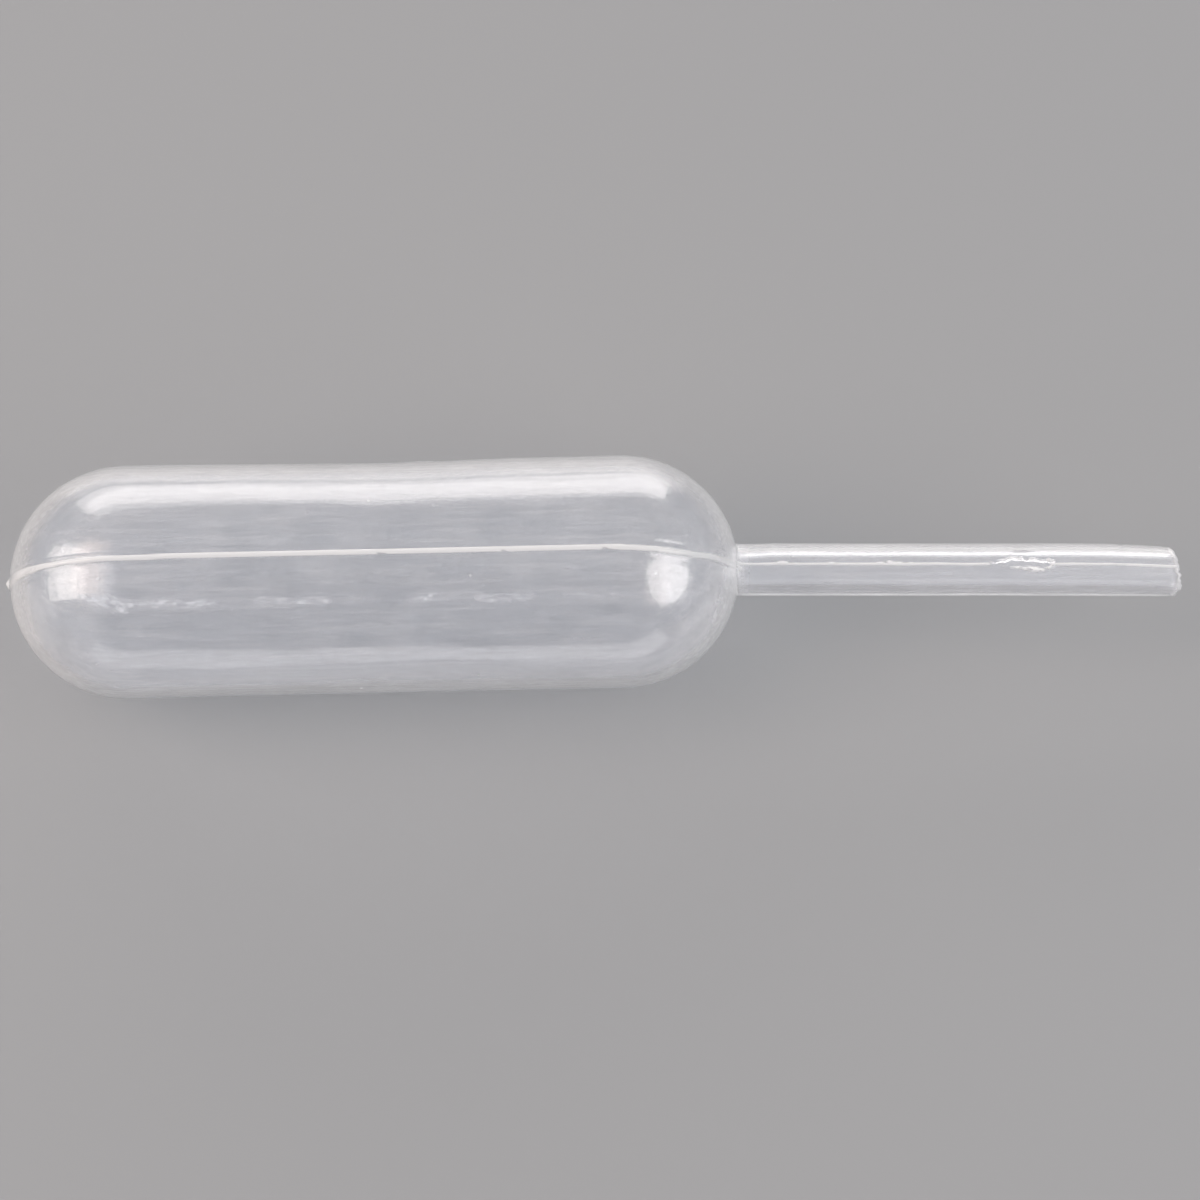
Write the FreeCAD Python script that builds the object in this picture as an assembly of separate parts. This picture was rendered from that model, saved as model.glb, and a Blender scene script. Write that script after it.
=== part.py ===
import FreeCAD, Part
import math
import os

# A squeeze dropper (disposable transfer pipette) for biology work: a closed, capsule-shaped bulb
# that is squeezed between finger and thumb, and a thin stem with an open tip that draws and drips.
# It is blown in one piece from low-density polyethylene in a two-part mould, so it is one hollow
# solid. All lengths are millimetres and all angles degrees.
#
# The dropper lies on its bulb: +X runs along the bulb towards the tip, +Z is up, and z = 0 is the
# surface it lies on. The origin is at the middle of the underside of its bounding box.

# Bulb
bulb_diameter = 13.0
bulb_length = 40.6      # over both domes, without the pinch-off nub
bulb_wall = 0.45
tail_wall = 0.70        # at the end of the closed dome, where the blown tube stretches least
rest_flat_width = 3.0   # flat spot where the soft bulb and its flash are pressed level by lying

# Stem
stem_diameter = 2.94
stem_wall = 0.60
stem_length = 24.4      # from the end of the dome to the middle of the cut tip
tip_narrowing = 0.18    # how much less the diameter is at the cut
tip_taper = 3.5         # length that is drawn in
tip_slant = 9.0         # how far the cut is out of square, seen from above
tip_edge = 0.16         # round on the outer edge of the cut
stem_yaw = 1.15         # how far the soft stem has set sideways, towards -Y
stem_droop = 0.5        # how far it hangs

# Blends where stem and bulb meet
neck_fillet = 0.20      # outside
throat_fillet = 0.30    # inside, where the bore opens into the bulb
blend_sink = 0.1        # how deep a blend's foot is sunk in the dome, as a share of its radius

# Parting line: a rounded ridge of flash all round, in the plane where the mould halves met
bulb_seam_width = 0.32
bulb_seam_height = 0.078
stem_seam_width = 0.15
stem_seam_height = 0.05
seam_lean = 11.6        # how far the plane of the parting line leans from upright

# Pinch-off nub on the closed dome, a hipped fin along the parting line
nub_length = 1.20
nub_width = 0.45
nub_height = 0.20
nub_crest_length = 0.50
nub_crest_width = 0.08

# Scar on the stem's upper seam, where a flake of flash was torn away
scar_from_tip = 8.95    # middle of the scar, back from the middle of the cut
scar_length = 3.60
scar_width = 0.80
scar_height = 0.12
scar_crest_share = 0.6  # the top of the scar, as a share of its length and width

bulb_radius = bulb_diameter / 2
cavity_radius = bulb_radius - bulb_wall
stem_radius = stem_diameter / 2
bore_radius = stem_radius - stem_wall
tip_radius = stem_radius - tip_narrowing / 2

X_AXIS = FreeCAD.Vector(1, 0, 0)
Y_AXIS = FreeCAD.Vector(0, 1, 0)
Z_AXIS = FreeCAD.Vector(0, 0, 1)
ORIGIN = FreeCAD.Vector(0, 0, 0)

# The bulb is first modelled about the X axis, with its middle at x = 0.
tail_centre = bulb_radius - bulb_length / 2
neck_centre = bulb_length / 2 - bulb_radius

# The stem's axis runs through the middle of its dome, so dome and stem are round about one line.
# The stem's own frame has +X along the stem and x = 0 at the dome's middle.
stem_placement = FreeCAD.Placement(
    FreeCAD.Vector(neck_centre, 0, 0),
    FreeCAD.Rotation(Z_AXIS, -stem_yaw) * FreeCAD.Rotation(Y_AXIS, stem_droop),
)
stem_end = bulb_radius + stem_length
taper_start = stem_end - tip_taper

# The flash has a round section, set so that it stands this proud and is this wide at its foot.
bulb_seam_section = (bulb_seam_width**2 / 4 + bulb_seam_height**2) / (2 * bulb_seam_height)
stem_seam_section = (stem_seam_width**2 / 4 + stem_seam_height**2) / (2 * stem_seam_height)
bulb_seam_ring = bulb_radius + bulb_seam_height - bulb_seam_section

# The bulb's axis lies this high over the surface that it rests on.
rest_height = math.sqrt(bulb_radius**2 - rest_flat_width**2 / 4)
seam_placement = FreeCAD.Placement(ORIGIN, FreeCAD.Rotation(X_AXIS, seam_lean))


def at(x, z):
    """A point in the XZ plane, where the round forms' profiles are drawn."""
    return FreeCAD.Vector(x, 0, z)


def across(y, z):
    """A point in the YZ plane, where the bulb's cross-sections are drawn."""
    return FreeCAD.Vector(0, y, z)


def smooth_crown(radius):
    """Half a circle in the YZ plane, from -Y over the top to +Y."""
    return [Part.Arc(across(-radius, 0), across(0, radius), across(radius, 0)).toShape()]


def flashed_crown():
    """The same for the bulb's outside, with the ridge of flash at the top."""
    foot_z = (bulb_radius**2 - bulb_seam_section**2 + bulb_seam_ring**2) / (2 * bulb_seam_ring)
    foot_y = math.sqrt(bulb_radius**2 - foot_z**2)
    shoulder = bulb_radius * math.sqrt(0.5)
    crest = across(0, bulb_radius + bulb_seam_height)
    left, right = across(-foot_y, foot_z), across(foot_y, foot_z)
    return [
        Part.Arc(across(-bulb_radius, 0), across(-shoulder, shoulder), left).toShape(),
        Part.Arc(left, crest, right).toShape(),
        Part.Arc(right, across(shoulder, shoulder), across(bulb_radius, 0)).toShape(),
    ]


def capsule(crown, tail):
    """A bar along X whose ends are half balls, about tail and about the neck's dome centre.

    The crown is the upper half of its cross-section. Each end is the crown turned half round.
    """
    base = Part.makeLine(crown[0].Vertexes[0].Point, crown[-1].Vertexes[-1].Point)
    upper = Part.Face(Part.Wire(crown + [base]))
    end = upper.revolve(ORIGIN, Y_AXIS, 180)
    other_end = upper.revolve(ORIGIN, Y_AXIS, -180)
    bar = upper.extrude(at(neck_centre - tail, 0))
    other_bar = bar.copy()
    other_bar.rotate(ORIGIN, X_AXIS, 180)
    end.translate(at(neck_centre - tail, 0))
    solid = bar.fuse([other_bar, end, other_end]).removeSplitter()
    solid.Placement = seam_placement * FreeCAD.Placement(at(tail, 0), FreeCAD.Rotation())
    return solid


def flared_tube(dome_radius, tube_radius, blend, outline):
    """A round bar that flares out on a dome about the neck's dome centre, in the bulb's frame.

    It starts in the dome's middle, leaves the dome at tube_radius with a blend, and then follows
    the outline, a list of points in the stem's frame that ends at its free end.
    """
    # The blend's foot is sunk a little, so it meets the dome with a faint crease.
    reach = dome_radius + blend * (1 - blend_sink)
    blend_centre = at(math.sqrt(reach**2 - (tube_radius + blend) ** 2), tube_radius + blend)
    on_dome = blend_centre * ((reach - blend) / reach)
    on_tube = at(blend_centre.x, tube_radius)
    inwards = (on_dome + on_tube) * 0.5 - blend_centre
    on_blend = blend_centre + inwards.normalize() * blend
    corners = [on_tube] + outline + [at(outline[-1].x, 0), ORIGIN, on_dome]
    edges = [Part.makeLine(start, end) for start, end in zip(corners, corners[1:])]
    edges.append(Part.Arc(on_dome, on_blend, on_tube).toShape())
    solid = Part.Face(Part.Wire(edges)).revolve(ORIGIN, X_AXIS, 360)
    solid.Placement = stem_placement
    return solid


def beyond_the_cut():
    """All that lies past the slanted end of the tip."""
    size = 4 * stem_diameter
    block = Part.makeBox(size, size, size, FreeCAD.Vector(0, -size / 2, -size / 2))
    slant = FreeCAD.Placement(at(stem_end, 0), FreeCAD.Rotation(Z_AXIS, tip_slant))
    block.Placement = stem_placement * slant
    return block


def outside():
    """Bulb and stem as one solid form, with the bulb's flash but not yet the stem's."""
    # The drawn-in end runs on past the cut at the same slope.
    overrun = tip_taper + stem_diameter
    overrun_radius = stem_radius - (stem_radius - tip_radius) * overrun / tip_taper
    outline = [at(taper_start, stem_radius), at(taper_start + overrun, overrun_radius)]
    stem = flared_tube(bulb_radius, stem_radius, neck_fillet, outline).cut(beyond_the_cut())
    rim_start = stem_placement.multVec(at(stem_end - tip_radius, 0)).x
    rim = [edge for edge in stem.Edges if edge.BoundBox.XMin > rim_start]
    return capsule(flashed_crown(), tail_centre).fuse(stem.makeFillet(tip_edge, rim))


def inside():
    """The hollow of the bulb, and the bore that runs from it out of the tip."""
    outline = [at(stem_end + stem_diameter, bore_radius)]
    bore = flared_tube(cavity_radius, bore_radius, throat_fillet, outline)
    # The closed dome's hollow has the barrel's radius and sits inboard, which thickens its end.
    hollow_tail = tail_centre + tail_wall - bulb_wall
    return capsule(smooth_crown(cavity_radius), hollow_tail).fuse(bore)


def stem_seams():
    """The two ridges along the stem, opposite each other, which follow its taper and its cut."""
    sink = stem_seam_height - stem_seam_section
    parts = []
    for side in (1, -1):
        start = at(math.sqrt(bulb_radius**2 - stem_radius**2), side * (stem_radius + sink))
        knee = at(taper_start, side * (stem_radius + sink))
        end = at(stem_end, side * (tip_radius + sink))
        parts.append(Part.makeCylinder(stem_seam_section, (knee - start).Length, start, knee - start))
        parts.append(Part.makeSphere(stem_seam_section, knee))
        parts.append(Part.makeCylinder(stem_seam_section, (end - knee).Length, knee, end - knee))
    seams = parts[0].fuse(parts[1:])
    seams.Placement = stem_placement * seam_placement
    return seams.cut(beyond_the_cut())


def hipped_pad(length, width, crest_length, crest_width, height, root):
    """A pad with sloping sides, length along X and width along Y, whose foot is at z = 0.

    Its crest is at z = height, and a straight root goes down to z = -root.
    """
    crest = Part.makeWedge(
        -width / 2, 0, -length / 2, -crest_length / 2, -crest_width / 2,
        width / 2, height, length / 2, crest_length / 2, crest_width / 2,
    )
    base = Part.makeBox(width, root, length, FreeCAD.Vector(-width / 2, -root, -length / 2))
    pad = crest.fuse(base).removeSplitter()
    # A wedge rises along Y and is drawn with its length on Z, so the axes change places.
    pad.Placement = FreeCAD.Placement(ORIGIN, FreeCAD.Rotation(Y_AXIS, Z_AXIS, X_AXIS, "XYZ"))
    return pad


def pinch_off_nub():
    """The fin left on the closed dome where the mould pinched the tube shut."""
    nub = hipped_pad(nub_length, nub_width, nub_crest_length, nub_crest_width, nub_height, tail_wall / 2)
    outwards = FreeCAD.Placement(at(-bulb_length / 2, 0), FreeCAD.Rotation(Y_AXIS, -90))
    nub.Placement = seam_placement * outwards * nub.Placement
    return nub


def seam_scar():
    """The low rough patch on the stem's upper seam, as a plain hipped pad."""
    crest_length = scar_length * scar_crest_share
    crest_width = scar_width * scar_crest_share
    root = (stem_radius - bore_radius) / 2
    scar = hipped_pad(scar_length, scar_width, crest_length, crest_width, scar_height, root)
    on_stem = FreeCAD.Placement(at(stem_end - scar_from_tip, stem_radius), FreeCAD.Rotation())
    scar.Placement = stem_placement * seam_placement * on_stem * scar.Placement
    return scar


def deeper_than(depth):
    """All that lies more than this far below the bulb's axis."""
    corner = FreeCAD.Vector(-bulb_length, -bulb_diameter / 2, -depth - bulb_diameter)
    return Part.makeBox(2 * bulb_length, bulb_diameter, bulb_diameter, corner)


def pipette():
    """The whole dropper at rest, and how far it was moved to put the origin under its middle."""
    skin = outside().fuse([stem_seams(), pinch_off_nub(), seam_scar()])
    hollow = inside().cut(deeper_than(rest_height - bulb_wall))
    body = skin.cut(deeper_than(rest_height)).cut(hollow)
    extent = body.optimalBoundingBox(False, False)
    shift = FreeCAD.Vector(-extent.Center.x, -extent.Center.y, rest_height)
    body.translate(shift)
    return body, shift


body, shift = pipette()
os.makedirs("parts", exist_ok=True)
body.exportStep("parts/pipette.step")
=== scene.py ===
import bmesh
import bpy
import math
from mathutils import Matrix, Vector, noise


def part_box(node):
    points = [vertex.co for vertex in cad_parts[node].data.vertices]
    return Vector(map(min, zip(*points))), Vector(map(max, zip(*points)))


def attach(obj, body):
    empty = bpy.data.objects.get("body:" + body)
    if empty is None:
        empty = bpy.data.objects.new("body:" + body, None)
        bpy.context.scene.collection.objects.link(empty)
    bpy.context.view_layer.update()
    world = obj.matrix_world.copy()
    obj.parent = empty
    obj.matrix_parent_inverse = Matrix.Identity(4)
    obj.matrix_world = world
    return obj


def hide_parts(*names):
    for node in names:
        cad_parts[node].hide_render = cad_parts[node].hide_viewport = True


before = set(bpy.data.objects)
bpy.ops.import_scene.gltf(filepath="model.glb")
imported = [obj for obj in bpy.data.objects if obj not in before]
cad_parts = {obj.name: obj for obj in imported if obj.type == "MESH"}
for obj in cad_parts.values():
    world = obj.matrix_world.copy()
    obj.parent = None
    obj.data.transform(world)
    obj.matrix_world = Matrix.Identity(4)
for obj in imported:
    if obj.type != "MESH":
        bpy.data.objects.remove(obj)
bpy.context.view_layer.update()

# ---------------------------------------------------------------------------------------------
# The dropper: one hollow piece of natural low-density polyethylene, blown in a two-part mould.
# A parison was pinched shut at the tail, blown out to the capsule-shaped bulb, and its stem was
# cut off at the tip, so flash stands along the parting line and a torn scar is left on the stem.
# ---------------------------------------------------------------------------------------------

# Sizes are millimetres until the finished mesh is turned to metres.
MILLIMETRE = 0.001
low, high = (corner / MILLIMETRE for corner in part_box("pipette"))

bulb_radius = (high.y - low.y) / 2
bulb_length = 40.6
bulb_wall = 0.45
tail_wall = 0.70
flat_width = 3.0          # the flat spot that the bulb lies on
nub_height = 0.20
stem_radius = 1.47
bore_radius = 0.87
tip_radius = 1.38
tip_taper = 3.5
stem_length = 24.4
neck_blend = 0.20         # fillet round the foot of the stem
throat_blend = 0.30       # the same inside
rim_round = 0.16          # worn outer edge of the cut
bore_round = 0.05         # inner edge of the cut
cut_zone = 1.0            # the end of the stem that the slanted cut reaches
seam_lean = math.radians(11.6)

cavity_radius = bulb_radius - bulb_wall
axis_height = math.sqrt(bulb_radius**2 - flat_width**2 / 4)
tail_x = low.x + nub_height + bulb_radius
neck_x = tail_x + bulb_length - 2 * bulb_radius
hollow_tail_x = tail_x + tail_wall - bulb_wall
stem_end = neck_x + bulb_radius + stem_length

# Where the scar on the stem is, along X, and how far past it the section's steps stay close.
scar_x = 23.7
scar_half_length = 1.95
scar_margin = 0.2


class Outline:
    """Draws half of the dropper's lengthwise section, vertex by vertex, above the X axis."""

    def __init__(self, mesh, start):
        self.mesh = mesh
        self.end = mesh.verts.new(start)

    def grow(self, steps, **sweep):
        grown = bmesh.ops.spin(self.mesh, geom=[self.end], axis=(0, 1, 0), steps=steps, **sweep)
        self.end = [part for part in grown["geom_last"] if isinstance(part, bmesh.types.BMVert)][0]

    def straight(self, along, outwards, steps):
        """A straight run by this much along X and away from the axis."""
        self.grow(steps, angle=0, dvec=(along / steps, 0, outwards / steps))

    def arc(self, x, z, angle, steps):
        """An arc about a point of the XZ plane."""
        self.grow(steps, angle=angle, cent=(x, 0, z))


def blend_angle(dome, tube, blend):
    """How far a blend between a dome and a tube turns, and where its centre is along the tube."""
    along = math.sqrt((dome + blend) ** 2 - (tube + blend) ** 2)
    return math.atan2(along, tube + blend), along


def section_of_dropper(mesh):
    """The outside from the tail to the tip, and the inside back to the tail, as one chain.

    Its steps are closest at the nub, over the scar and at the cut."""
    quarter = math.pi / 2
    nub_zone = math.radians(14)
    outline = Outline(mesh, (tail_x - bulb_radius, 0, 0))
    outline.arc(tail_x, 0, nub_zone, 26)
    outline.arc(tail_x, 0, quarter - nub_zone, 40)
    outline.straight(neck_x - tail_x, 0, 110)
    turn, along = blend_angle(bulb_radius, stem_radius, neck_blend)
    outline.arc(neck_x, 0, turn, 42)
    outline.arc(neck_x + along, stem_radius + neck_blend, -turn, 7)
    plain_end = scar_x - scar_half_length - scar_margin
    scar_end = scar_x + scar_half_length + scar_margin
    taper_start = stem_end - tip_taper
    outline.straight(plain_end - neck_x - along, 0, 68)
    outline.straight(scar_end - plain_end, 0, 70)
    outline.straight(taper_start - scar_end, 0, 15)
    slope = (tip_radius - stem_radius) / tip_taper
    outline.straight(tip_taper - cut_zone, slope * (tip_taper - cut_zone), 13)
    outline.straight(cut_zone - rim_round, slope * cut_zone, 12)
    outline.arc(stem_end - rim_round, tip_radius - rim_round, quarter, 5)
    outline.straight(0, bore_radius + bore_round + rim_round - tip_radius, 4)
    inside_starts = len(mesh.verts)
    outline.arc(stem_end - bore_round, bore_radius + bore_round, quarter, 3)
    outline.straight(bore_round - cut_zone, 0, 8)
    throat_turn, throat_along = blend_angle(cavity_radius, bore_radius, throat_blend)
    outline.straight(neck_x + throat_along - stem_end + cut_zone, 0, 44)
    outline.arc(neck_x + throat_along, bore_radius + throat_blend, throat_turn, 6)
    outline.arc(neck_x, 0, -throat_turn, 34)
    outline.straight(hollow_tail_x - neck_x, 0, 60)
    outline.arc(hollow_tail_x, 0, -quarter, 30)
    mesh.verts.ensure_lookup_table()
    for vert in mesh.verts[inside_starts:]:
        vert[inner_layer] = 1.0


# The turn that makes the wall starts this far before the upper parting line. Each stretch of it
# is given as degrees and steps: the second crosses the upper line, and the fifth the lower one.
turn_start = math.radians(22)
turn_stretches = ((18, 16), (8, 16), (14, 12), (158, 47), (8, 10), (154, 46))
weld_distance = 0.0001


def turn_about_axis(mesh):
    """Turns the section once round the X axis, in finer steps where the parting line runs."""
    section = list(mesh.verts) + list(mesh.edges)
    start = Matrix.Rotation(seam_lean - turn_start, 4, "X")
    bmesh.ops.transform(mesh, matrix=start, verts=mesh.verts)
    for degrees, steps in turn_stretches:
        turned = bmesh.ops.spin(
            mesh, geom=section, cent=(0, 0, 0), axis=(1, 0, 0),
            angle=math.radians(degrees), steps=steps,
        )
        section = turned["geom_last"]
    bmesh.ops.remove_doubles(mesh, verts=mesh.verts, dist=weld_distance)
    bmesh.ops.recalc_face_normals(mesh, faces=mesh.faces)


dropper = bmesh.new()
inner_layer = dropper.verts.layers.float.new("inner")
section_of_dropper(dropper)
turn_about_axis(dropper)

# The parting plane holds the X axis. How far a point is beside the plane is measured along
# "side", and "up" lies in the plane and points to its upper line.
side = Vector((0, math.cos(seam_lean), math.sin(seam_lean)))
up = Vector((0, -math.sin(seam_lean), math.cos(seam_lean)))
far = Vector((0, 0.917, 0.399))          # from the axis to the upper back of the bulb

# The flash, which is wider where it has melted into the wall, and the nicks in it along X.
bulb_flash_width = 0.32
bulb_flash_height = 0.078
stem_flash_width = 0.15
stem_flash_height = 0.05
tail_spread = 0.30
neck_spread = 0.15
nicks = (-11.6, -4.9, 0.64)
nick_half_length = 0.22


def smooth(low_end, high_end, value):
    """0 below low_end, 1 above high_end, and a smooth rise between."""
    share = min(max((value - low_end) / (high_end - low_end), 0.0), 1.0)
    return share * share * (3 - 2 * share)


def follow(points, x):
    """The height at x of a smooth line through these points, which run along X."""
    for (x0, y0), (x1, y1) in zip(points, points[1:]):
        if x <= x1:
            return y0 + (y1 - y0) * smooth(x0, x1, x)
    return points[-1][1]


def hump(place, centre, half_width):
    """A bell that is 1 at its centre and fades to almost nothing at twice its half-width."""
    return math.exp(-((place - centre) / half_width) ** 2)


def wander(place, length, amount, seed):
    """A smooth random offset along a line, with waves of about this length."""
    return amount * noise.noise(Vector((place / length, seed, 0.37 * seed)))


def ridge(beside, width, height):
    """How high rounded flash of this width and height stands, at a place beside its middle."""
    return height * max(1 - (2 * beside / width) ** 2, 0.0)


flash_layer = dropper.verts.layers.float.new("flash")
scuff_layer = dropper.verts.layers.float.new("scuff")
thick_layer = dropper.verts.layers.float.new("thick")
fibre_layer = dropper.verts.layers.float_vector.new("fibre")


def neck_softness(x):
    """How far the bulb's flash has melted into the wall, from 0 to 1 where the stem begins."""
    return smooth(neck_x + 3.8, neck_x + 6.2, x)


def tail_softness(x):
    """The same at the tail, from 0 to 1 near the nub."""
    return smooth(low.x + 3.0, low.x + 0.5, x)


# Where the mould halves closed a little out of line: places along X, and how far the upper line
# strays from the parting plane there, towards the front.
upper_stray = (
    (-32.5, 0.19), (-29.8, 0.10), (-25.5, 0.05), (-22.0, 0.0), (0.8, 0.0),
    (2.6, 0.08), (4.9, 0.24), (7.5, 0.20), (8.1, 0.04),
)


def onto_bulb_flash(vert, beside, upper):
    """Height of the flash on the bulb at this vertex, ragged along its crest."""
    x = vert.co.x
    seed = 3.0 if upper else 8.0
    if upper:
        beside += follow(upper_stray, x)
    beside += wander(x, 3.0, 0.02, seed) + wander(x, 0.7, 0.014, seed + 1)
    height = bulb_flash_height * (1 + wander(x, 1.1, 0.3, seed + 2))
    width = bulb_flash_width + tail_spread * tail_softness(x) + neck_spread * neck_softness(x)
    for nick in nicks:
        depth = hump(x, nick, nick_half_length)
        height *= 1 - 0.4 * depth
        width *= 1 - 0.25 * depth
        beside -= 0.05 * depth
    height *= 1 - 0.45 * neck_softness(x) - 0.6 * smooth(low.x + 1.1, low.x + 0.35, x)
    return ridge(beside, width, height)


def onto_stem_flash(vert, beside, upper):
    """Height of the flash on the stem, which stops at the scar."""
    x = vert.co.x
    seed = 5.0 if upper else 9.0
    beside += wander(x, 2.0, 0.02, seed)
    height = stem_flash_height * (1 + wander(x, 0.8, 0.4, seed + 2))
    if upper:
        starts, ends = scar_x - scar_half_length, scar_x + scar_half_length
        height *= 1 - smooth(starts, starts + 0.4, x) * (1 - smooth(ends - 0.4, ends, x))
    width = stem_flash_width * (1 + wander(x, 1.3, 0.3, seed + 3))
    return ridge(beside, width, height)


# Crumbs of flash that hang on the stem's upper line: place along X, place beside the line,
# length, width and height.
crumbs = (
    (7.95, 0.02, 0.14, 0.10, 0.07),
    (8.12, -0.26, 0.10, 0.09, 0.06),
    (10.50, 0.09, 0.24, 0.07, 0.06),
    (13.20, 0.07, 0.20, 0.06, 0.03),
    (15.90, 0.06, 0.20, 0.06, 0.04),
    (16.45, 0.11, 0.16, 0.08, 0.06),
    (16.95, 0.06, 0.22, 0.06, 0.05),
    (17.60, 0.05, 0.18, 0.05, 0.04),
    (20.90, -0.05, 0.22, 0.05, 0.03),
)


def onto_crumbs(vert, beside):
    """Height of the crumbs at this vertex."""
    return sum(
        height * hump(vert.co.x, x, length) * hump(beside, place, width)
        for x, place, length, width, height in crumbs
    )


# The lips of the scar: where each runs, as places along X and beside the parting line. Beyond
# scar_starts, scar_stops and scar_half_width there is nothing of them.
upper_lip = (
    (21.75, 0.01), (22.5, 0.14), (23.3, 0.32), (24.2, 0.22),
    (24.8, 0.13), (25.35, 0.17), (25.65, 0.12),
)
lower_lip = (
    (21.75, -0.02), (22.4, -0.11), (23.6, -0.22),
    (24.85, -0.36), (25.15, -0.25), (25.65, 0.0),
)
scar_starts, scar_stops, scar_half_width = 21.4, 26.0, 1.0
upper_lip_height, upper_lip_half_width = 0.09, 0.09
lower_lip_height, lower_lip_half_width = 0.08, 0.08
blob_x, blob_height = 24.5, 0.12          # where the lower lip is thickest
end_flake_x, end_flake_height = 25.36, 0.10
hollow_depth = 0.035


def onto_scar(vert, beside):
    """The torn scar: its height and its whiteness. Two curled lips stand round a shallow hollow,
    the upper one thin and clear, the lower one thick and white towards the tip."""
    x = vert.co.x
    if not scar_starts < x < scar_stops or abs(beside) > scar_half_width:
        return 0.0, 0.0
    ends = smooth(21.6, 22.0, x) * (1 - smooth(25.45, 25.75, x))
    top = follow(upper_lip, x) + wander(x, 0.28, 0.10, 12.0)
    bottom = follow(lower_lip, x) + wander(x, 0.45, 0.05, 14.0)
    flakes = 0.8 + 1.3 * noise.noise(Vector((x / 0.3, beside / 0.12, 33.0)))
    upper = upper_lip_height * (0.80 + wander(x, 0.20, 1.3, 16.0))
    upper *= hump(beside, top, upper_lip_half_width) * (0.45 + 0.55 * smooth(22.0, 23.0, x))
    lower = lower_lip_height * (0.85 + wander(x, 0.3, 1.2, 18.0))
    lower *= hump(beside, bottom, lower_lip_half_width) * smooth(22.2, 23.6, x)
    blob = blob_height * hump(x, blob_x, 0.48) * hump(beside, bottom + 0.04, 0.14)
    end_flake = end_flake_height * hump(x, end_flake_x, 0.20) * hump(beside, 0.17, 0.08)
    height = upper + lower + blob + end_flake
    if bottom < beside < top:
        height -= hollow_depth * smooth(0, 0.1, beside - bottom) * smooth(0, 0.1, top - beside)
    whiteness = flakes * (5 * upper + 9 * lower + 9 * blob + 6 * end_flake)
    return height * ends, whiteness * ends


# The nub is a fin that runs this far up and down the parting line from the tail's middle.
nub_half_length = 0.60
nub_half_width = 0.42


def onto_nub(upwards, beside):
    """The fin where the mould pinched the tube shut, highest at the end of the bulb."""
    along = abs(upwards + wander(upwards, 0.2, 0.03, 20.0)) / nub_half_length
    across = abs(beside + 0.03 + wander(upwards, 0.3, 0.03, 21.0)) / nub_half_width
    if along >= 1 or across >= 1:
        return 0.0
    return nub_height * min(1.0, 2.0 * (1 - along)) * min(1.0, 1.1 * (1 - across))


# Scuffed stretches of the lower parting line: where each starts and ends, and how strong it is.
scuffs = (
    (-28.9, -21.0, 1.0),
    (-19.6, -14.6, 0.7),
    (-13.6, -12.9, 0.6),
    (-10.8, -8.0, 0.8),
    (-7.1, -3.0, 0.6),
    (-2.0, 2.0, 0.35),
)
slant_starts, slant_stops = -29.6, -26.2      # the stretch where they slant away from the line


def scuffed(x, across):
    """How scuffed the lower line is at this place along it and across it."""
    beside_line = abs(across + wander(x, 1.3, 0.16, 25.0))
    patchy = 0.85 + wander(x, 0.9, 0.7, 27.0)
    along = max(
        strength * smooth(start, start + 0.8, x) * (1 - smooth(end - 0.8, end, x))
        for start, end, strength in scuffs
    )
    slanting = 1.2 * hump(across, -0.42, 0.24)
    slanting *= smooth(slant_starts, slant_starts + 0.8, x)
    slanting *= 1 - smooth(slant_stops - 0.6, slant_stops, x)
    return max(patchy * along * (1 - smooth(0.12, 0.40, beside_line)), slanting)


# How wavy the wall is: the outside in long and short waves, the bulb's inside, which no mould
# held, and the stem. Beside its flash the wall has sunk a little, and at the neck it is drawn in.
long_wave, short_wave, inner_wave, stem_wave = 0.022, 0.014, 0.045, 0.012
front_sink, back_sink = 0.025, 0.02
neck_pinch = 0.04

# What handling has left: a shallow dent in the bulb's back, a pimple beside it, and a nick and a
# burr on the stem.
dent_x, dent_half_length, dent_depth = -11.84, 6.0, 0.145
pimple_x, pimple_height = -9.42, 0.05
stem_nick_x, stem_nick_depth = 29.38, 0.05
burr_x, burr_height = 23.9, 0.03
scuff_turn_x, scuff_slant = -26.8, 0.30       # from here to the tail the scuffs slant


def shape_bulb(vert):
    """Flash, nub, dent and waviness of the bulb, pushed out from its core line."""
    core = Vector((min(max(vert.co.x, tail_x), neck_x), 0, 0))
    out = (vert.co - core).normalized()
    beside, upwards = vert.co.dot(side), vert.co.dot(up)
    x, y, z = vert.co
    push = long_wave * noise.noise(Vector((x / 9, y / 4, z / 4)))
    push += short_wave * noise.noise(Vector((x / 3.0, y / 1.8, z / 1.8 + 7)))
    facing = max(out.dot(far), 0.0)
    push -= dent_depth * hump(x, dent_x, dent_half_length) * facing**3
    if upwards > 0:
        strayed = beside + follow(upper_stray, x)
        push -= front_sink * hump(strayed, -0.40, 0.15) + back_sink * hump(strayed, 0.46, 0.12)
    if upwards < 0:
        across = beside + scuff_slant * min(x - scuff_turn_x, 0.0)
        vert[fibre_layer] = (x, across, 0.0)
        vert[scuff_layer] = scuffed(x, across)
    if vert[inner_layer] > 0.5:
        push += inner_wave * noise.noise(Vector((x / 14, y / 3, z / 3 + 30)))
        vert.co += out * push
        return
    push += pimple_height * hump(x, pimple_x, 0.35) * smooth(0.985, 1.0, facing)
    flash = onto_bulb_flash(vert, beside, upwards > 0)
    melted = max(neck_softness(x), tail_softness(x))
    whiteness = min(flash / ((0.35 + 0.5 * melted) * bulb_flash_height), 1.0) * (1 - 0.4 * melted)
    if upwards < 0:
        whiteness *= 0.12
    if x < tail_x:
        nub = onto_nub(upwards, beside)
        flash = max(flash, nub)
        whiteness = max(whiteness, min(nub / 0.05, 0.8))
    vert[flash_layer] = whiteness
    vert.co += out * (push + flash)


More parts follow.
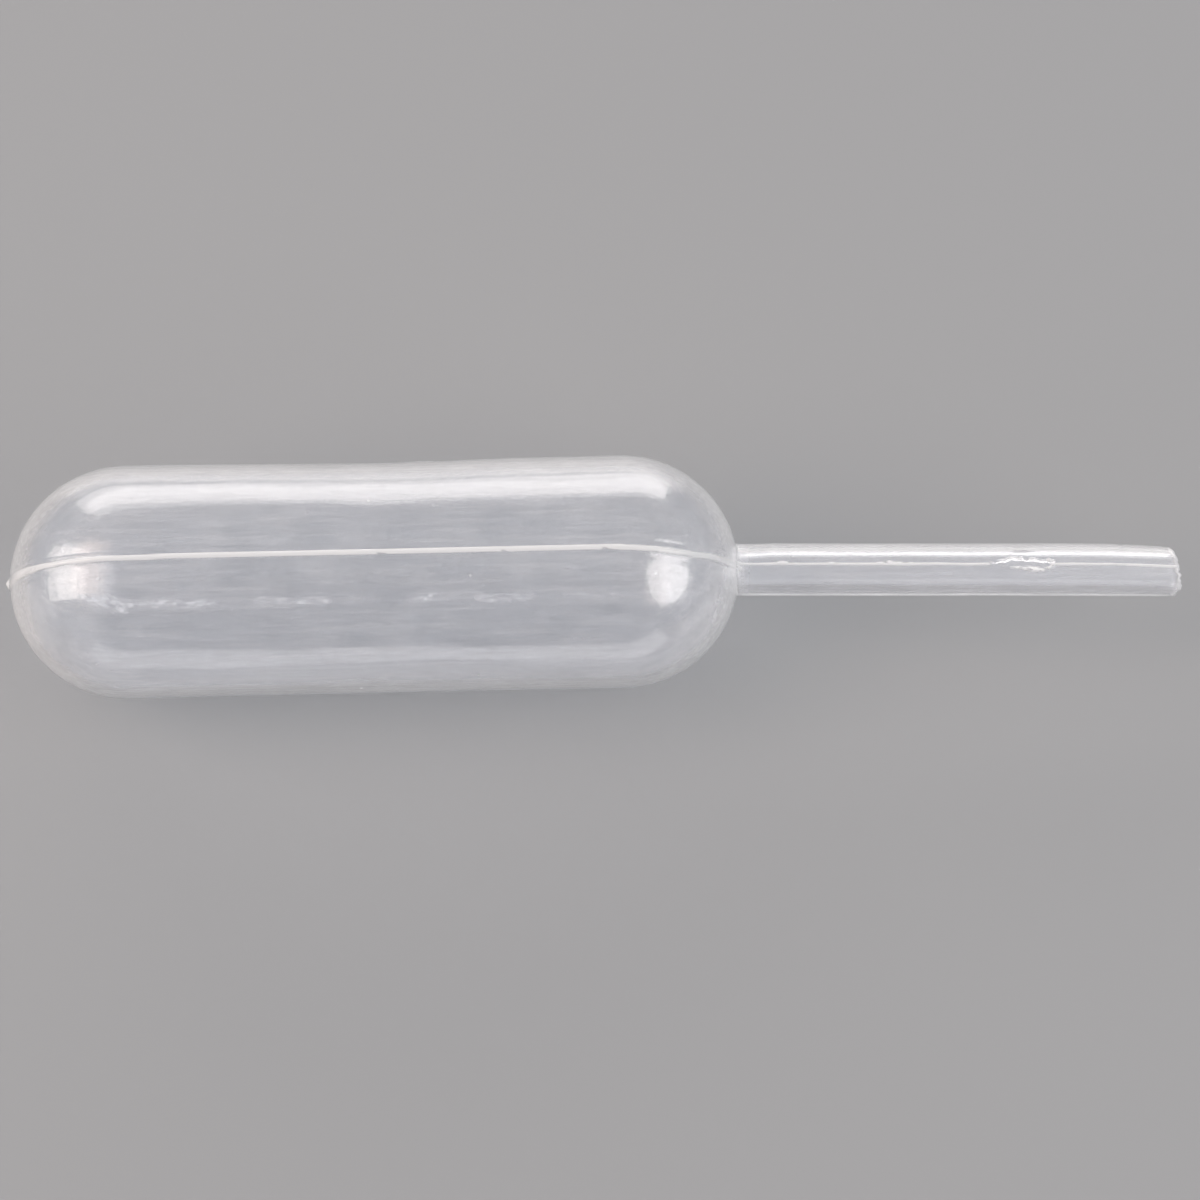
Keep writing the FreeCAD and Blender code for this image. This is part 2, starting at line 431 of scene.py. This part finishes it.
def shape_stem(vert):
    """Flash, scar and waviness of the stem, pushed out from its axis."""
    x, y, z = vert.co
    out = (vert.co - Vector((x, 0, 0))).normalized()
    beside, upwards = vert.co.dot(side), vert.co.dot(up)
    push = stem_wave * noise.noise(Vector((x / 5, y / 1.5, z / 1.5 + 50)))
    push -= neck_pinch * hump(x, neck_x + bulb_radius + 0.3, 0.9) * max(out.dot(far), 0.0)
    if vert[inner_layer] > 0.5:
        vert.co += out * (2 * push)
        return
    push -= stem_nick_depth * hump(x, stem_nick_x, 0.12) * smooth(0.93, 1.0, out.dot(far))
    push += burr_height * hump(x, burr_x, 0.5) * hump(beside, 0.85, 0.2) * (upwards > 0)
    flash = onto_stem_flash(vert, beside, upwards > 0)
    whiteness = 2.0 * flash / stem_flash_height * (1.0 if upwards > 0 else 0.1)
    if upwards > 0:
        lips, lip_whiteness = onto_scar(vert, beside)
        lumps = onto_crumbs(vert, beside)
        flash += lips + lumps
        whiteness = max(whiteness, lip_whiteness, lumps / 0.03)
    ragged = x + 0.22 * noise.noise(Vector((0, 2.5 * out.y, 2.5 * out.z)))
    rim = smooth(stem_end - 0.34, stem_end - 0.12, ragged)
    vert[flash_layer] = min(max(whiteness, 0.5 * rim, 0.0), 1.0)
    fade = 1 - smooth(stem_end - rim_round, stem_end, x)
    vert.co += out * (push + flash * fade)


# The knife cut the tip a little out of square, tore it, and left its two sides short.
cut_slant = math.tan(math.radians(8.0))
near_side_short = 0.30
far_side_short = 0.10


def cut_tip(vert):
    """Slants and tears the end of the stem, and pulls back its corners."""
    near_end = smooth(stem_end - cut_zone, stem_end - 0.1, vert.co.x)
    if near_end == 0:
        return
    angle = math.atan2(vert.co.dot(side), vert.co.dot(up))
    torn = 0.10 * noise.noise(Vector((2.2 * math.cos(angle), 2.2 * math.sin(angle), 4.0)))
    torn += 0.09 * noise.noise(Vector((7 * math.cos(angle), 7 * math.sin(angle), 9.0)))
    torn += 0.06 * noise.noise(vert.co * 6) * vert[flash_layer]
    across = vert.co.dot(far) / tip_radius
    torn -= near_side_short * smooth(0.45, 1.0, -across) ** 2
    torn -= far_side_short * smooth(0.6, 1.0, across)
    vert.co.x += near_end * (torn - cut_slant * vert.co.y - 0.02)


# The soft stem's set. It starts this far from the centre of the neck's dome, eases in over
# set_blend, and curls more from curl_starts on. It leans more forwards than down.
set_starts = 5.3
set_blend = 3.0
set_slope = 0.0213
curl_starts = 24.9
curl = 0.0036
forwards, downwards = 0.928, 0.373


def bend_stem(vert):
    """Gives the stem its set: straight from the bulb, then forwards and down to its tip."""
    from_neck = vert.co.x - neck_x
    run = from_neck - set_starts
    if run <= -set_blend / 2:
        return
    if run < set_blend / 2:
        run = (run + set_blend / 2) ** 2 / (2 * set_blend)
    sag = set_slope * run + curl * max(from_neck - curl_starts, 0.0) ** 2
    vert.co.y -= forwards * sag
    vert.co.z -= downwards * sag


stem_starts = neck_x + bulb_radius - 0.16


def thickness(place):
    """How much plastic is here, from 0 in the bulb's wall. It piled up at the neck, where the
    blowing stopped, and at the tail, where the tube was pinched."""
    stem = smooth(stem_starts - 3.0, stem_starts, place.x)
    stem -= 0.35 * smooth(stem_starts, stem_starts + 1.0, place.x)
    tail = 0.5 * (1 - smooth(1.0, 5.0, math.dist(place, (low.x, 0, 0))))
    collar = 1.6 * hump(place.x, stem_starts + 0.1, 0.3)
    return stem + tail + collar


for vert in dropper.verts:
    vert[thick_layer] = thickness(vert.co)
    from_axis = math.hypot(vert.co.y, vert.co.z)
    if vert.co.x > stem_starts - 0.45 and from_axis < stem_radius + neck_blend * 0.6:
        shape_stem(vert)
    else:
        shape_bulb(vert)
    cut_tip(vert)
    bend_stem(vert)
    # The wall is pressed flat where the bulb lies, outside and inside alike.
    lowest = -axis_height if vert[inner_layer] < 0.5 else bulb_wall - axis_height
    vert.co.z = max(vert.co.z, lowest)

for face in dropper.faces:
    face.smooth = True
in_frame = Matrix.Scale(MILLIMETRE, 4) @ Matrix.Translation((0, 0, axis_height))
bmesh.ops.transform(dropper, matrix=in_frame, verts=dropper.verts)
dropper_mesh = bpy.data.meshes.new("pipette_body")
dropper.to_mesh(dropper_mesh)
dropper.free()
pipette = bpy.data.objects.new("pipette_body", dropper_mesh)
bpy.context.scene.collection.objects.link(pipette)


def linear(code):
    """An sRGB hex colour as the linear RGBA that a socket takes."""
    channels = [int(code[i:i + 2], 16) / 255 for i in (1, 3, 5)]
    turned = [c / 12.92 if c <= 0.04045 else ((c + 0.055) / 1.055) ** 2.4 for c in channels]
    return (*turned, 1.0)


def node(tree, kind, inputs=None, **settings):
    """Adds a node, sets its settings, and links or sets its inputs by name or number."""
    made = tree.nodes.new(kind)
    for name, value in settings.items():
        setattr(made, name, value)
    for name, value in (inputs or {}).items():
        if isinstance(value, bpy.types.NodeSocket):
            tree.links.new(value, made.inputs[name])
        else:
            made.inputs[name].default_value = value
    return made


def blank_material(name):
    """A material with an empty node tree and its output."""
    material = bpy.data.materials.new(name)
    material.use_nodes = True
    material.node_tree.nodes.clear()
    return material, material.node_tree, node(material.node_tree, "ShaderNodeOutputMaterial")


# Natural polyethylene, blown thin: it lets most light through and turns a share of it milky, a
# little blue. Its satin skin blurs reflections. Flash, scuffs and torn edges scatter more, so
# they show white. Patterns are laid out in millimetres, so a scale is repeats per millimetre.
polyethylene, tree, output = blank_material("natural low-density polyethylene")
place = node(tree, "ShaderNodeTexCoord")
in_mm = node(
    tree, "ShaderNodeMapping",
    {"Vector": place.outputs["Object"], "Scale": (1 / MILLIMETRE, 1 / MILLIMETRE, 1 / MILLIMETRE)},
)
flash = node(tree, "ShaderNodeAttribute", attribute_name="flash")
scuff = node(tree, "ShaderNodeAttribute", attribute_name="scuff")
thick = node(tree, "ShaderNodeAttribute", attribute_name="thick")
inner = node(tree, "ShaderNodeAttribute", attribute_name="inner")

# Cloudy wall, in patches of 2 to 4 mm, and die lines, about 0.3 mm apart and 5 mm long, that the
# die drew along the parison. Real ones are finer than shows, so these are drawn coarser.
clouds_per_mm = 0.45
lines_per_mm = 3.6
line_drawing = 0.06           # how much slower the lines change along the parison
clouds = node(
    tree, "ShaderNodeTexNoise",
    {"Vector": in_mm.outputs[0], "Scale": clouds_per_mm, "Detail": 4.0, "Roughness": 0.6},
)
drawn = node(
    tree, "ShaderNodeMapping",
    {"Vector": in_mm.outputs[0], "Scale": (line_drawing, 1.0, 1.0)},
)
die_lines = node(
    tree, "ShaderNodeTexNoise",
    {"Vector": drawn.outputs[0], "Scale": lines_per_mm, "Detail": 4.0, "Roughness": 0.65},
)

# Scuffs are torn fibres, 0.12 mm wide and six times as long. They lie along the line, and slant
# across it near the tail.
fibres_per_mm = 8.0
fibre_drawing = 0.17
fibre = node(tree, "ShaderNodeAttribute", attribute_name="fibre")
streaks = node(
    tree, "ShaderNodeMapping",
    {"Vector": fibre.outputs["Vector"], "Scale": (fibre_drawing, 1.0, 1.0)},
)
scuff_noise = node(
    tree, "ShaderNodeTexNoise",
    {
        "Vector": streaks.outputs[0],
        "Scale": fibres_per_mm,
        "Detail": 5.0,
        "Roughness": 0.7,
        "Distortion": 0.8,
    },
)
scuff_cut = node(
    tree, "ShaderNodeMapRange",
    {"Value": scuff_noise.outputs["Fac"], "From Min": 0.49, "From Max": 0.56},
)
scuff_mask = node(
    tree, "ShaderNodeMath",
    {0: scuff.outputs["Fac"], 1: scuff_cut.outputs[0]}, operation="MULTIPLY",
)

# Specks: gels and dust of up to 0.2 mm, about one to the square centimetre. One is at the middle
# of each cell of 2 mm, and about four cells in ten have theirs.
cells_per_mm = 0.5
cells = node(tree, "ShaderNodeTexVoronoi", {"Vector": in_mm.outputs[0], "Scale": cells_per_mm})
speck_size = node(
    tree, "ShaderNodeMapRange",
    {
        "Value": cells.outputs["Distance"],
        "From Min": 0.03, "From Max": 0.055,
        "To Min": 1.0, "To Max": 0.0,
    },
)
speck_pick = node(
    tree, "ShaderNodeMath", {0: cells.outputs["Color"], 1: 0.62}, operation="GREATER_THAN",
)
speck = node(
    tree, "ShaderNodeMath",
    {0: speck_size.outputs[0], 1: speck_pick.outputs[0]}, operation="MULTIPLY",
)

# The wall looks milkier where it is seen edge on, because light crosses more of it.
edge = node(tree, "ShaderNodeLayerWeight", {"Blend": 0.5})
edge_haze = node(
    tree, "ShaderNodeMapRange",
    {
        "Value": edge.outputs["Facing"],
        "From Min": 0.44, "From Max": 0.88,
        "To Min": 0.0, "To Max": 0.85,
    },
)
outer = node(tree, "ShaderNodeMath", {0: 1.0, 1: inner.outputs["Fac"]}, operation="SUBTRACT")
outer_haze = node(
    tree, "ShaderNodeMath",
    {0: edge_haze.outputs[0], 1: outer.outputs[0]}, operation="MULTIPLY",
)
cloud_haze = node(
    tree, "ShaderNodeMapRange",
    {
        "Value": clouds.outputs["Fac"],
        "From Min": 0.35, "From Max": 0.65,
        "To Min": 0.02, "To Max": 0.09,
    },
)
line_haze = node(
    tree, "ShaderNodeMapRange",
    {
        "Value": die_lines.outputs["Fac"],
        "From Min": 0.48, "From Max": 0.66,
        "To Min": 0.0, "To Max": 0.11,
    },
)

# Haze is the share of light that turns milky. What adds to it, and how much:
haze = cloud_haze.outputs[0]
for source, amount in (
    (line_haze.outputs[0], 1.0),
    (outer_haze.outputs[0], 1.0),
    (thick.outputs["Fac"], 0.08),
    (flash.outputs["Fac"], 1.0),
    (inner.outputs["Fac"], 0.08),
    (scuff_mask.outputs[0], 1.0),
    (speck.outputs[0], 0.55),
):
    summed = node(
        tree, "ShaderNodeMath", {0: source, 1: amount, 2: haze}, operation="MULTIPLY_ADD",
    )
    haze = summed.outputs[0]
clear = node(tree, "ShaderNodeMath", {0: 1.0, 1: haze}, operation="SUBTRACT", use_clamp=True)

# Orange peel of 0.25 mm from the mould's skin. Its pits are glossier than its crests, so
# reflections have grainy edges. Flash and thick places are duller, and so is the skin of the
# stem's bore, which cooled against nothing.
peel_per_mm = 4.0
peel = node(
    tree, "ShaderNodeTexNoise",
    {"Vector": in_mm.outputs[0], "Scale": peel_per_mm, "Detail": 3.0, "Roughness": 0.6},
)
satin = node(
    tree, "ShaderNodeMapRange",
    {
        "Value": peel.outputs["Fac"],
        "From Min": 0.35, "From Max": 0.65,
        "To Min": 0.035, "To Max": 0.08,
    },
)
bore = node(
    tree, "ShaderNodeMath",
    {0: thick.outputs["Fac"], 1: inner.outputs["Fac"]}, operation="MULTIPLY",
)
matt = satin.outputs[0]
for source, amount in (
    (flash.outputs["Fac"], 0.25),
    (thick.outputs["Fac"], 0.05),
    (bore.outputs[0], 0.16),
):
    summed = node(
        tree, "ShaderNodeMath", {0: source, 1: amount, 2: matt}, operation="MULTIPLY_ADD",
    )
    matt = summed.outputs[0]

# The peel is hundredths of a millimetre deep, and only the moulded outside has it. With the lips
# of the scuffs it goes on the gloss coat alone, so it grains reflections and the view through the
# wall stays sharp. The die lines are a micron or two deep and are on both sides.
peel_distance = 0.06 * MILLIMETRE
line_distance = 0.03 * MILLIMETRE
scuff_distance = 0.03 * MILLIMETRE
peel_fade = node(
    tree, "ShaderNodeMath",
    {0: thick.outputs["Fac"], 1: -0.80, 2: 0.60}, operation="MULTIPLY_ADD", use_clamp=True,
)
peel_depth = node(
    tree, "ShaderNodeMath", {0: outer.outputs[0], 1: peel_fade.outputs[0]}, operation="MULTIPLY"
)
peel_bump = node(
    tree, "ShaderNodeBump",
    {"Height": peel.outputs["Fac"], "Strength": peel_depth.outputs[0], "Distance": peel_distance},
)
line_depth = node(
    tree, "ShaderNodeMath", {0: outer.outputs[0], 1: 0.05, 2: 0.01}, operation="MULTIPLY_ADD"
)
line_bump = node(
    tree, "ShaderNodeBump",
    {
        "Height": die_lines.outputs["Fac"],
        "Strength": line_depth.outputs[0],
        "Distance": line_distance,
    },
)
scuff_bump = node(
    tree, "ShaderNodeBump",
    {
        "Height": scuff_mask.outputs[0],
        "Strength": 0.3,
        "Distance": scuff_distance,
        "Normal": peel_bump.outputs[0],
    },
)
plastic = node(
    tree, "ShaderNodeBsdfPrincipled",
    {
        "Base Color": linear("#F7F8FB"),
        "IOR": 1.51,
        "Specular IOR Level": 0.3,
        "Coat Weight": 0.9,
        "Coat Roughness": 0.12,
        "Coat IOR": 1.6,
        "Roughness": matt,
        "Transmission Weight": clear.outputs[0],
        "Normal": line_bump.outputs[0],
        "Coat Normal": scuff_bump.outputs[0],
    },
)

# Lamps shine through the thin wall, so its shadow is pale.
through = node(tree, "ShaderNodeBsdfTransparent", {"Color": linear("#E4E6E8")})
ray = node(tree, "ShaderNodeLightPath")
shader = node(
    tree, "ShaderNodeMixShader",
    {"Fac": ray.outputs["Is Shadow Ray"], 1: plastic.outputs[0], 2: through.outputs[0]},
)
tree.links.new(shader.outputs[0], output.inputs["Surface"])
dropper_mesh.materials.append(polyethylene)

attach(pipette, "root")
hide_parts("pipette")

# ---------------------------------------------------------------------------------------------
# The table: a broad sheet of pale grey acrylic that the dropper lies on. Its gloss shows only in
# the dropper's walls, so no lamp glares off it.
# ---------------------------------------------------------------------------------------------

table_half = 4.0
table_gap = 0.03 * MILLIMETRE         # keeps the dropper's flat spot clear of the table's face
table_bmesh = bmesh.new()
bmesh.ops.create_grid(table_bmesh, x_segments=1, y_segments=1, size=table_half)
bmesh.ops.translate(table_bmesh, verts=table_bmesh.verts, vec=(0, 0, -table_gap))
table_mesh = bpy.data.meshes.new("table")
table_bmesh.to_mesh(table_mesh)
table_bmesh.free()
table = bpy.data.objects.new("table", table_mesh)
bpy.context.scene.collection.objects.link(table)

# Pale grey acrylic: matt where it is seen directly, glossy in what the dropper mirrors, and at
# less than half gloss in what shows through it.
acrylic, tree, output = blank_material("pale grey acrylic")
matt_board = node(
    tree, "ShaderNodeBsdfPrincipled",
    {"Base Color": linear("#AEB0B3"), "Roughness": 0.75, "IOR": 1.45},
)
gloss_board = node(
    tree, "ShaderNodeBsdfPrincipled",
    {"Base Color": linear("#AEB0B3"), "Roughness": 0.05, "IOR": 1.49},
)
ray = node(tree, "ShaderNodeLightPath")
in_the_wall = node(
    tree, "ShaderNodeMath",
    {0: ray.outputs["Is Transmission Ray"], 1: 0.4, 2: ray.outputs["Is Glossy Ray"]},
    operation="MULTIPLY_ADD",
)
board = node(
    tree, "ShaderNodeMixShader",
    {"Fac": in_the_wall.outputs[0], 1: matt_board.outputs[0], 2: gloss_board.outputs[0]},
)
tree.links.new(board.outputs[0], output.inputs["Surface"])
table_mesh.materials.append(acrylic)

# ---------------------------------------------------------------------------------------------
# Studio light: a low, wide softbox behind the dropper draws the long bands on the bulb and stem.
# Two high ones at its closed end and one at its open end draw the bright patches on its domes,
# and the pale grey room fills the rest.
# ---------------------------------------------------------------------------------------------

aim = Vector((0, 0, axis_height * MILLIMETRE))


def softbox(name, direction, distance, width, height, radiance, colour, shape="RECTANGLE"):
    """An area lamp that faces the dropper. Radiance 1 is as bright as white paper."""
    lamp = bpy.data.lights.new(name, "AREA")
    lamp.shape = shape
    lamp.size = width
    lamp.size_y = height
    area = width * height * (math.pi / 4 if shape == "ELLIPSE" else 1)
    lamp.energy = radiance * area * math.pi
    lamp.color = linear(colour)[:3]
    box = bpy.data.objects.new(name, lamp)
    towards = Vector(direction).normalized()
    upright = (far - far.dot(towards) * towards).normalized()
    sideways = upright.cross(towards)
    box.matrix_world = Matrix((sideways, upright, towards)).transposed().to_4x4()
    box.location = aim + towards * distance
    box.visible_camera = False
    bpy.context.scene.collection.objects.link(box)


softbox("softbox_back", (-0.025, 0.962, 0.270), 0.50, 0.62, 0.246, 2.35, "#FFF9F5")
softbox("softbox_left_edge", (-0.882, -0.060, 0.465), 0.477, 0.285, 0.37, 2.7, "#FFF7F0")
softbox("softbox_left", (-0.640, -0.09, 0.79), 0.461, 0.23, 0.39, 1.2, "#FFE0CE")
softbox("softbox_right", (0.717, -0.351, 0.606), 0.45, 0.36, 0.46, 2.2, "#FFFBF8", "ELLIPSE")

world = bpy.data.worlds.new("studio")
bpy.context.scene.world = world
world.use_nodes = True
tree = world.node_tree
tree.nodes.clear()
rays = node(tree, "ShaderNodeLightPath")
camera_or_gloss = node(
    tree, "ShaderNodeMath",
    {0: rays.outputs["Is Camera Ray"], 1: rays.outputs["Is Glossy Ray"]}, operation="MAXIMUM",
)
seen = node(
    tree, "ShaderNodeMath",
    {0: camera_or_gloss.outputs[0], 1: rays.outputs["Is Transmission Ray"]}, operation="MAXIMUM",
)
fill = node(tree, "ShaderNodeBackground", {"Color": linear("#F0F2F5"), "Strength": 0.35})
backdrop = node(tree, "ShaderNodeBackground", {"Color": linear("#9FA4AB"), "Strength": 1.0})
room = node(
    tree, "ShaderNodeMixShader",
    {"Fac": seen.outputs[0], 1: fill.outputs[0], 2: backdrop.outputs[0]},
)
node(tree, "ShaderNodeOutputWorld", {"Surface": room.outputs[0]})

# ---------------------------------------------------------------------------------------------
# Camera: high in front, its picture turned a little so that the stem points slightly up.
# ---------------------------------------------------------------------------------------------

camera_data = bpy.data.cameras.new("camera")
camera_data.lens = 150
camera_data.sensor_width = 36
camera_data.clip_start = 0.01
camera_data.clip_end = 20
camera = bpy.data.objects.new("camera", camera_data)
bpy.context.scene.collection.objects.link(camera)
bpy.context.scene.camera = camera
azimuth = math.radians(-1.32)
elevation = math.radians(66.5)
distance = 278.7 * MILLIMETRE
look_at = Vector((0.333, -1.427, 5.703)) * MILLIMETRE
back = Vector((
    math.sin(azimuth) * math.cos(elevation),
    -math.cos(azimuth) * math.cos(elevation),
    math.sin(elevation),
))
camera.location = look_at + back * distance
camera.rotation_euler = (-back).to_track_quat("-Z", "Y").to_euler()

bpy.context.scene.view_settings.view_transform = "Standard"
